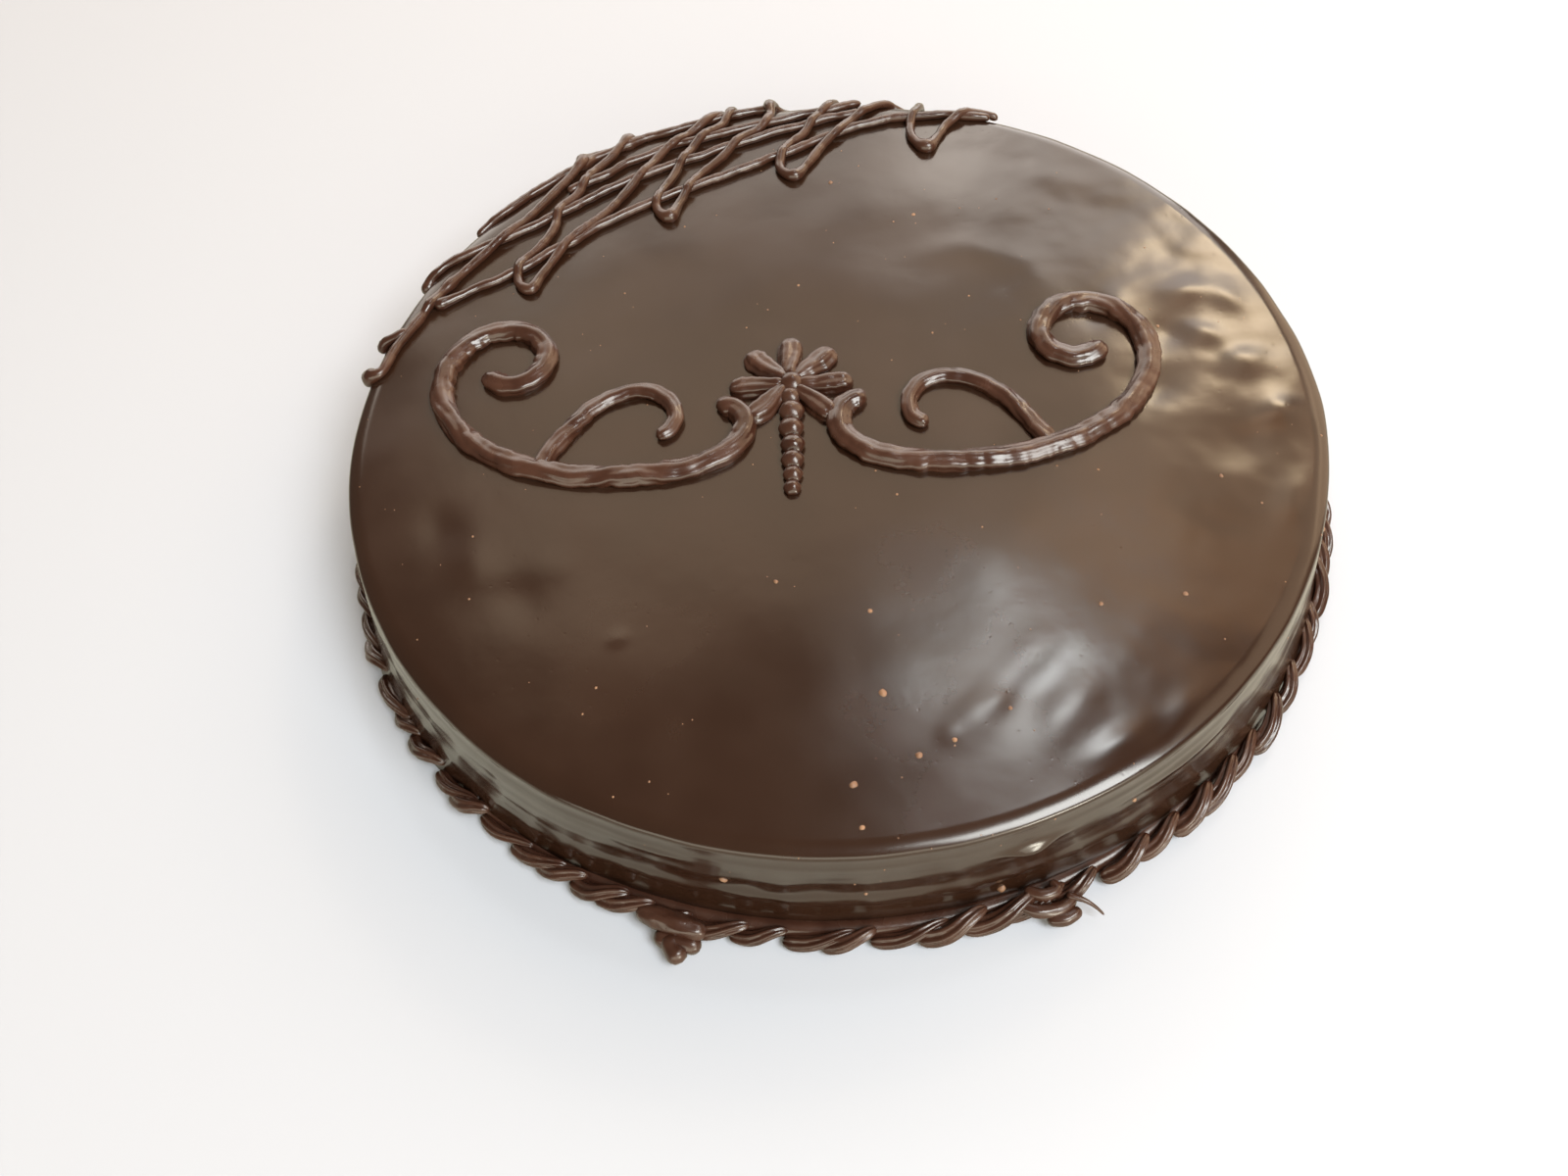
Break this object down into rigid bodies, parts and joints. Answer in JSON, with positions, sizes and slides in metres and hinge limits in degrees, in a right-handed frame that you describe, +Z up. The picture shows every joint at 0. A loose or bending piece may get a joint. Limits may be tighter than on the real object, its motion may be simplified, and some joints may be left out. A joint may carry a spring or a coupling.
{
  "type": "glazed chocolate torte",
  "caption": "Low round chocolate-glazed torte with a piped rope border round its foot, a piped flourish on top and a thin drizzled lattice at one edge.",
  "frame": {"origin": "centre of the flat underside, on the surface that the cake stands on", "axes": "+Z up out of the top, +X to the right of someone at the cake's front, -Y towards them; the lattice is at the back left"},
  "size_m": [0.2646, 0.2602, 0.0405],
  "materials": {
    "glaze": "poured chocolate glaze, satin gloss",
    "border_piping": "piped dark chocolate, satin gloss",
    "flourish_piping": "piped dark chocolate, moist gloss"
  },
  "bodies": {
    "root": {"glazed_cake": "glaze", "piped_border": "border_piping", "piped_flourish": "flourish_piping"}
  },
  "joints": []
}
